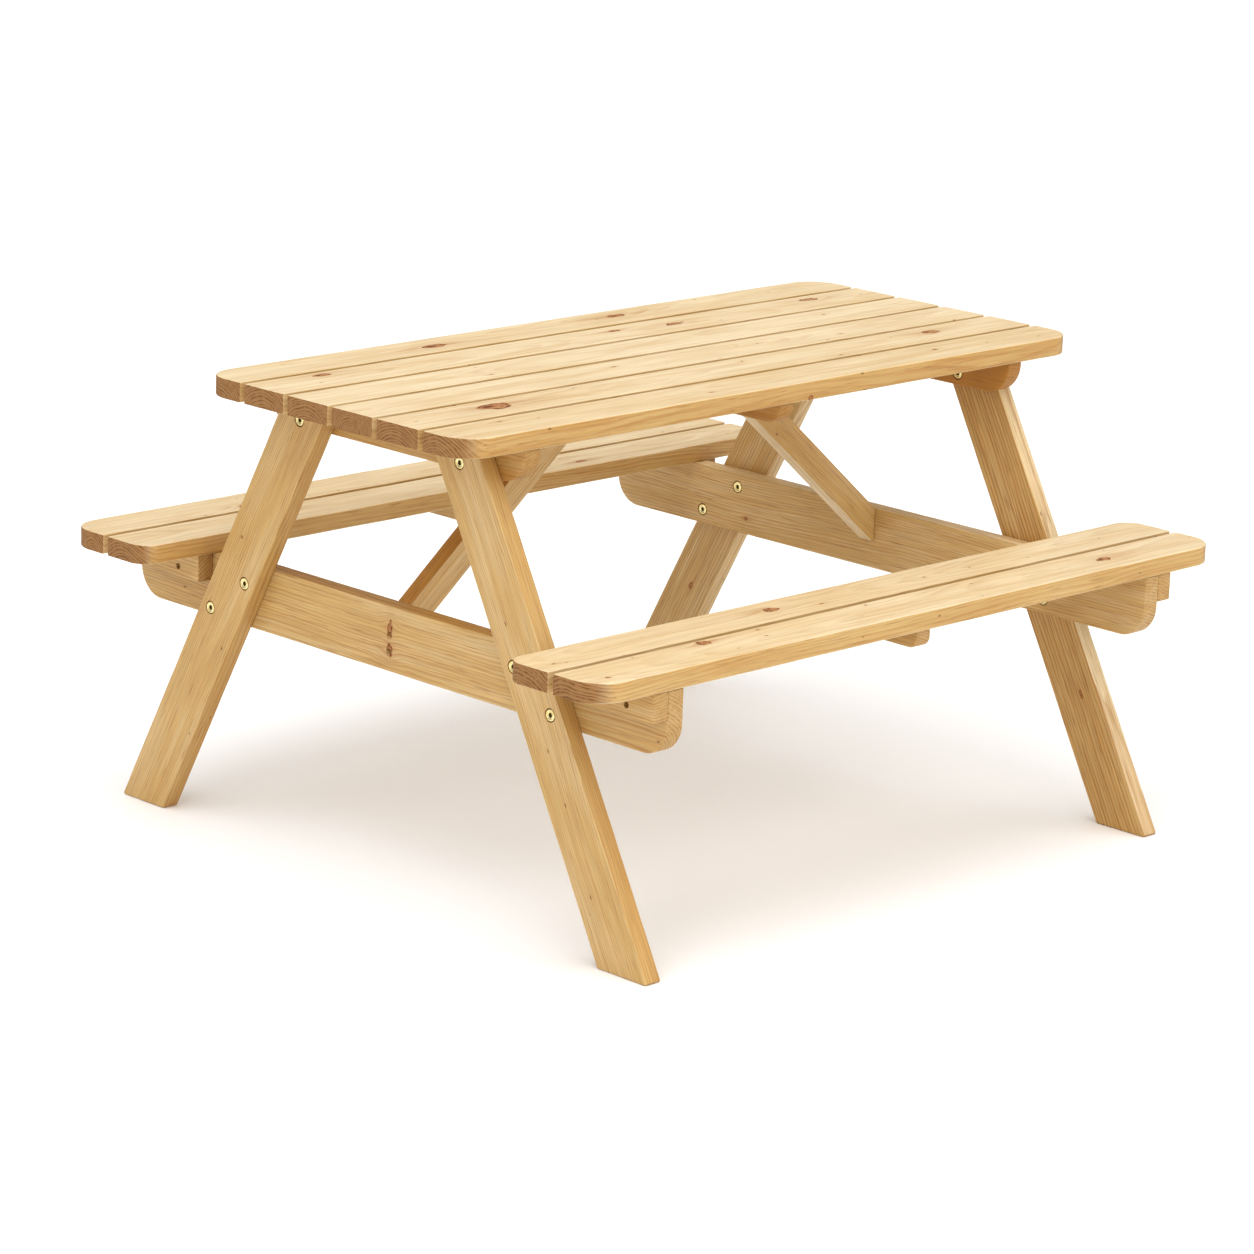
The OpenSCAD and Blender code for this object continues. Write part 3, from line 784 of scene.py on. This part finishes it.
def level_board(node, front_radius, rear_radius, worn, seed, tone, contrast, knots):
    """A flat board along X, face up, with its own corner radius on either edge.

    Worn is -1 for a board with its front edge outside, 1 with its rear edge
    outside and 0 with neither.
    """
    low, high = box_of(node)
    half, width = (high.x - low.x) / 2, high.y - low.y
    corners = [(-half, 0), (half, 0), (half, width), (-half, width)]
    radii = [front_radius, front_radius, rear_radius, rear_radius]
    piece = plank(f"pine_{node}", corners, radii, ((low.x + high.x) / 2, low.y, high.z),
                  X, Y, -Z, high.z - low.z, seed, BOARD_ARRIS, (0, worn * EXTRA_WEAR))
    edge_tint_and_shade = [OUTER_EDGE_TINT_AND_SHADE if worn == way else GAP_EDGE_TINT_AND_SHADE for way in (-1, 1)]
    wood = pine(f"pine {node}", (low, high), X, Z, seed + 200, tone, contrast, BOARD_RING, edge_tint_and_shade,
                BOARD_SAWN, knots, flat_sawn=True)
    stand_for(piece, node, wood)
    return piece


TOP_CONTRAST = 0.22
# Tone and knots of each board's pine, from the front of the table to the rear.
TOP_PINE = [
    (0.08, [(-502, 23, 4, 2, 13), (359, 7, 5, 3, 13), (42, -41, 5, 3, -10), (-130, -12, 3, 2, 13)]),
    (0.03, [(-440, 7, 26, 14), (454, 9, 15, 8), (214, -31, 4, 2, 13), (60, 22, 3, 2, 13)]),
    (0.0, [(-120, 10, 4, 2, 13), (330, -14, 3, 2, 13)]),
    (-0.02, [(420, 12, 4, 2, 13), (-300, -20, 3, 2, 13)]),
    (0.02, [(-498, 24, 15, 7), (178, 1, 14, 6), (65, 14, 10, 5), (489, 17, 16, 7)]),
    (0.06, [(-230, -7, 20, 9), (150, 4, 18, 8)]),
]
for number, (tone, knots) in enumerate(TOP_PINE, 1):
    worn = {1: -1, len(TOP_PINE): 1}.get(number, 0)
    front = TOP_CORNER if worn < 0 else SAWN_CORNER
    rear = TOP_CORNER if worn > 0 else SAWN_CORNER
    board = level_board(f"top_board_{number}", front, rear, worn, 50 + number, tone, TOP_CONTRAST,
                        knots)
    drill(board, "end_batten_screws", screw_hole)
    drill(board, "middle_batten_screws", screw_hole)
    drill(board, "brace_top_screws", screw_hole)


# ---- Seats ----
# Two pale pine boards to a seat. Short battens outside the bearers, in line
# with the legs, and a small cleat in the middle hold them together.

SEAT_OUTER_CORNER = 50 * MM
SEAT_INNER_CORNER = 30 * MM
CLEAT_CORNER = 14 * MM
SEAT_TONE = 0.02
SEAT_CONTRAST = 0.22
SEAT_BATTEN_TONE = 0.40

SEAT_KNOTS = {
    "front_inner": [(-175, 3, 12, 8), (-607, -16, 3, 2, 13), (133, -4, 3, 2, 13),
                    (230, -5, 3, 2, 13), (-94, -17, 3, 2, 13)],
    "front_outer": [(-376, 30, 12, 7), (426, 1, 14, 7), (-597, -15, 4, 3, 13),
                    (-51, 33, 3, 2, 13), (-267, 33, 3, 2, 13), (-280, 4, 3, 2, 13)],
    "rear_inner": [(-330, 8, 12, 6), (250, -14, 10, 5)],
    "rear_outer": [(-360, -24, 12, 6), (120, 10, 3, 2, 13), (480, 6, 14, 7)],
}
for number, (name, knots) in enumerate(SEAT_KNOTS.items()):
    front, outer = name.startswith("front"), name.endswith("outer")
    outside = SEAT_OUTER_CORNER if outer else SAWN_CORNER
    inside = SAWN_CORNER if outer else SEAT_INNER_CORNER
    radii = (outside, inside) if front else (inside, outside)
    worn = -1 if front == outer else 1
    board = level_board(f"seat_board_{name}", *radii, worn, 60 + number, SEAT_TONE, SEAT_CONTRAST,
                        knots)
    drill(board, "seat_batten_screws", screw_hole)
    drill(board, "cleat_screws", screw_hole)

for number, (side, hand, end, way) in enumerate(CORNERS):
    batten = cross_rail(f"seat_batten_{side}_{end}", SAWN_CORNER, 70 + number, SEAT_BATTEN_TONE)
    drill(batten, "seat_batten_screws", screw_hole)
    drill(batten, "face_screws", screw_hole)

for number, (end, way) in enumerate(ENDS):
    cleat = cross_rail(f"seat_cleat_{end}", CLEAT_CORNER, 80 + number, SEAT_BATTEN_TONE)
    drill(cleat, "cleat_screws", screw_hole)


# ---- Braces ----
# A pine strut in the middle of each bearer slopes up to the underside of the
# top, sawn upright at the foot and level at the head.

BRACE_WIDTH = 42 * MM
BRACE_CORNER = 3 * MM
BRACE_CONTRAST = 0.60
# Tone, then edge tint, of each brace's pine. The left brace's dark edges
# are painted shade under the top, the right brace's pale edges painted
# light from the floor below.
BRACE_PINE = {"left": (0.24, (1.3, 1.3)), "right": (0.38, (-0.8, -0.8))}

for number, (side, hand) in enumerate(SIDES):
    node = f"brace_{side}"
    low, high = box_of(node)
    run, rise = high.x - low.x, high.z - low.z
    slope = math.atan2(rise, run)
    foot, head = BRACE_WIDTH / math.cos(slope), BRACE_WIDTH / math.sin(slope)
    corners = [(0, 0), (run, rise), (run - head, rise), (0, foot)]
    outer_x = low.x if hand < 0 else high.x
    brace = plank(f"pine_{node}", corners, [BRACE_CORNER] * 4, (outer_x, low.y, low.z),
                  (-hand, 0, 0), Z, Y, high.y - low.y, 90 + number)
    drill(brace, "brace_foot_screws", screw_hole)
    drill(brace, "brace_top_screws", screw_hole)
    along = Vector((-hand * math.cos(slope), 0, math.sin(slope)))
    tone, edge_tint_and_shade = BRACE_PINE[side]
    wood = pine(f"pine {node}", (low, high), along, Y, 190 + number, tone, BRACE_CONTRAST,
                edge_tint_and_shade=edge_tint_and_shade)
    stand_for(brace, node, wood)


# ---- Wood screws ----
# Countersunk steel screws with a six-lobed recess, yellow passivated, driven
# below the surface of the battens, the cleats, the bearers and the braces.

SCREW_R = 2.25 * MM
SCREW_TIP = 9 * MM


def screw_profile(length):
    """From the recess out over the flat head, down its cone and along to the point."""
    rows_mm = [(0.3, 2.3), (1.9, 2.2), (1.95, 0.15), (2.1, 0.0)]
    recess = [(r * MM, d * MM, STAR) for r, d in rows_mm]
    rows_mm = [(2.6, 0.0), (4.2, 0.0), (4.5, 0.15), (2.25, 2.4)]
    head = [(r * MM, d * MM, ROUND) for r, d in rows_mm]
    return recess + head + [(SCREW_R, length - SCREW_TIP, ROUND), (0.1 * MM, length, ROUND)]


screw_plate = plated_steel("zinc screws", (0.74, 0.62, 0.36, 1), (0.50, 0.40, 0.20, 1), 0.26)
for node in ("end_batten_screws", "middle_batten_screws", "seat_batten_screws", "cleat_screws",
             "face_screws", "brace_foot_screws", "brace_top_screws"):
    fasteners(node, screw_profile, screw_plate)


# ---- Studio ----
# A wide pale floor just under the feet, a sky that is brightest overhead and
# a little to the front left, and three square softboxes.

FLOOR_HALF = 40.0
FLOOR_DROP = 0.2 * MM

floor_mesh = bpy.data.meshes.new("floor")
unit_square = np.array([(-1, -1, 0), (1, -1, 0), (1, 1, 0), (-1, 1, 0)])
floor_points = unit_square * FLOOR_HALF - (0, 0, FLOOR_DROP)
floor_mesh.from_pydata(floor_points.tolist(), [], [(0, 1, 2, 3)])
floor = bpy.data.objects.new("floor", floor_mesh)
bpy.context.scene.collection.objects.link(floor)
paper, tree, surface = shader("pale paper")
surface.inputs["Base Color"].default_value = (0.92, 0.92, 0.92, 1)
surface.inputs["Roughness"].default_value = 0.9
floor_mesh.materials.append(paper)

SKY_LOW, SKY_GLOW = 0.34, 1.72
SKY_KEY = Vector((-0.20, -0.28, 0.93)).normalized()

world = bpy.data.worlds.new("studio")
world.use_nodes = True
tree = world.node_tree
toward = vectors(tree, "DOT_PRODUCT", put(tree, "TexCoord").outputs["Generated"], SKY_KEY)
glow = maths(tree, "POWER", maths(tree, "MAXIMUM", toward, 0.0), 2.0)
strength = maths(tree, "MULTIPLY_ADD", glow, SKY_GLOW, SKY_LOW)
# Seen directly, the sky is as white as the floor.
seen = put(tree, "LightPath").outputs["Is Camera Ray"]
strength = maths(tree, "MAXIMUM", strength, seen)
tree.nodes["Background"].inputs["Color"].default_value = (1, 1, 1, 1)
tree.links.new(strength, tree.nodes["Background"].inputs["Strength"])
bpy.context.scene.world = world


def softbox(name, place, target, size, watts):
    """A square light at a place, turned to shine on a target."""
    lamp = bpy.data.lights.new(name, "AREA")
    lamp.shape = "SQUARE"
    lamp.size = size
    lamp.energy = watts
    holder = bpy.data.objects.new(name, lamp)
    holder.location = place
    away = Vector(place) - Vector(target)
    holder.rotation_euler = away.to_track_quat("Z", "Y").to_euler()
    bpy.context.scene.collection.objects.link(holder)


softbox("overhead", (-1.2, -0.9, 4.2), (0, 0, 0.5), 1.6, 14)
softbox("left side", (-4.5, -1.6, 2.6), (0, 0, 0.4), 1.4, 10)
softbox("front fill", (0.0, -5.0, 1.0), (0, 0, 0.3), 2.4, 20)


# ---- Camera ----
# A long lens from the front left corner, a little above the table, with a
# slight tilt of the horizon.

CAMERA_AZIMUTH, CAMERA_HEIGHT_ANGLE, CAMERA_ROLL = (
    math.radians(v) for v in (-45.070, 14.903, 1.976))
CAMERA_DISTANCE = 6.5873
CAMERA_TARGET = Vector((-0.0685, -0.0297, 0.3059))
CAMERA_LENS = 129.76

back = Vector((math.sin(CAMERA_AZIMUTH) * math.cos(CAMERA_HEIGHT_ANGLE),
               -math.cos(CAMERA_AZIMUTH) * math.cos(CAMERA_HEIGHT_ANGLE),
               math.sin(CAMERA_HEIGHT_ANGLE)))
right = (-back).cross(Z).normalized()
upward = right.cross(-back)
rolled_right = right * math.cos(CAMERA_ROLL) + upward * math.sin(CAMERA_ROLL)
rolled_up = upward * math.cos(CAMERA_ROLL) - right * math.sin(CAMERA_ROLL)
lens = bpy.data.cameras.new("camera")
lens.sensor_width = 36
lens.lens = CAMERA_LENS
lens.clip_end = 200
camera = bpy.data.objects.new("camera", lens)
camera.rotation_euler = Matrix((rolled_right, rolled_up, back)).transposed().to_euler()
camera.location = CAMERA_TARGET + back * CAMERA_DISTANCE
bpy.context.scene.collection.objects.link(camera)
bpy.context.scene.camera = camera
bpy.context.scene.view_settings.view_transform = "Standard"
bpy.context.scene.view_settings.look = "Medium High Contrast"
